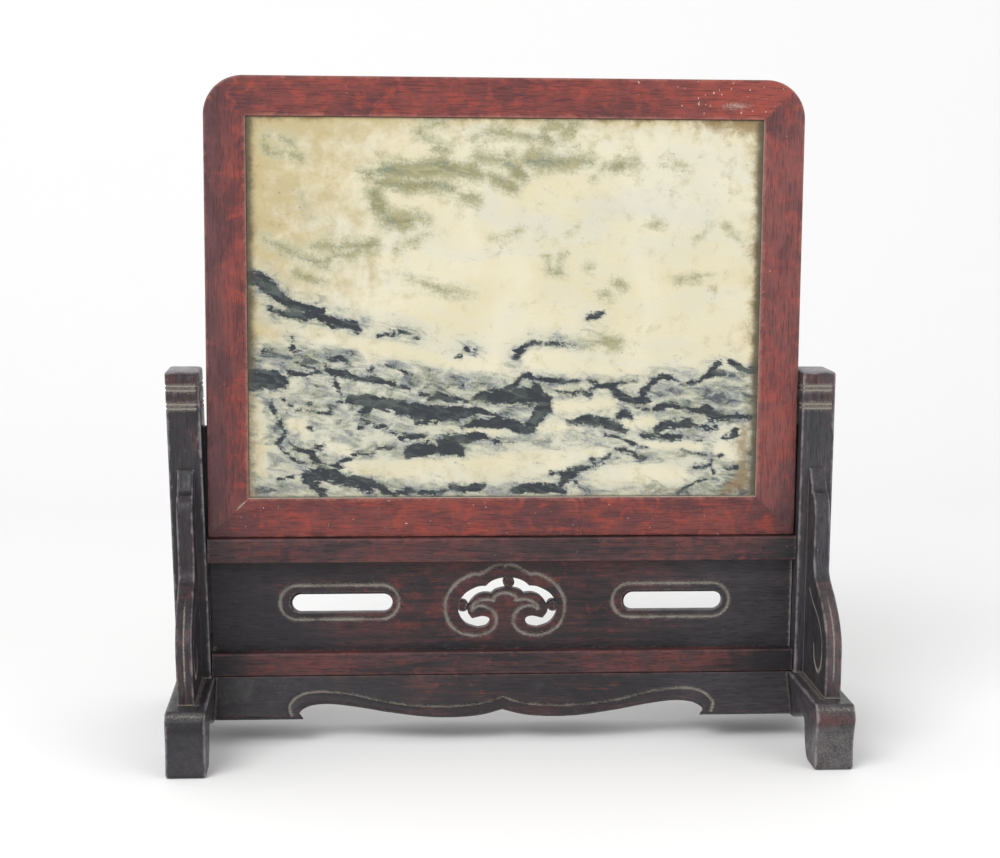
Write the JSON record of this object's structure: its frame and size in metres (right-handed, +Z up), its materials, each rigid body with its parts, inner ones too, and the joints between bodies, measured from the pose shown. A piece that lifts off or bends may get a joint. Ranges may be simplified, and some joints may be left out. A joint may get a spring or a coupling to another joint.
{
  "type": "table screen",
  "caption": "Framed veined marble slab standing upright in a dark wood stand with pierced panel, shaped aprons, spandrels and arched feet.",
  "frame": {"origin": "on the floor, under the middle of the bounding box", "axes": "+X to the right seen from the front, +Y from the front to the back, +Z up; the front faces -Y"},
  "size_m": [0.4506, 0.2062, 0.4473],
  "materials": {
    "marble": "honed and waxed, cream with olive green and blue-grey veins",
    "frame_wood": "worn polished red-brown hardwood",
    "stand_wood": "dark stained hardwood with worn edges and dust in the carving"
  },
  "bodies": {
    "root": {"marble_panel": "marble", "frame_top_rail": "frame_wood", "frame_bottom_rail": "frame_wood", "frame_left_stile": "frame_wood", "frame_right_stile": "frame_wood", "post_left": "stand_wood", "post_right": "stand_wood", "spandrel_front_left": "stand_wood", "spandrel_front_right": "stand_wood", "spandrel_back_left": "stand_wood", "spandrel_back_right": "stand_wood", "foot_left": "stand_wood", "foot_right": "stand_wood", "upper_rail": "stand_wood", "lower_rail": "stand_wood", "pierced_panel": "stand_wood", "apron_front": "stand_wood", "apron_back": "stand_wood"}
  },
  "joints": []
}
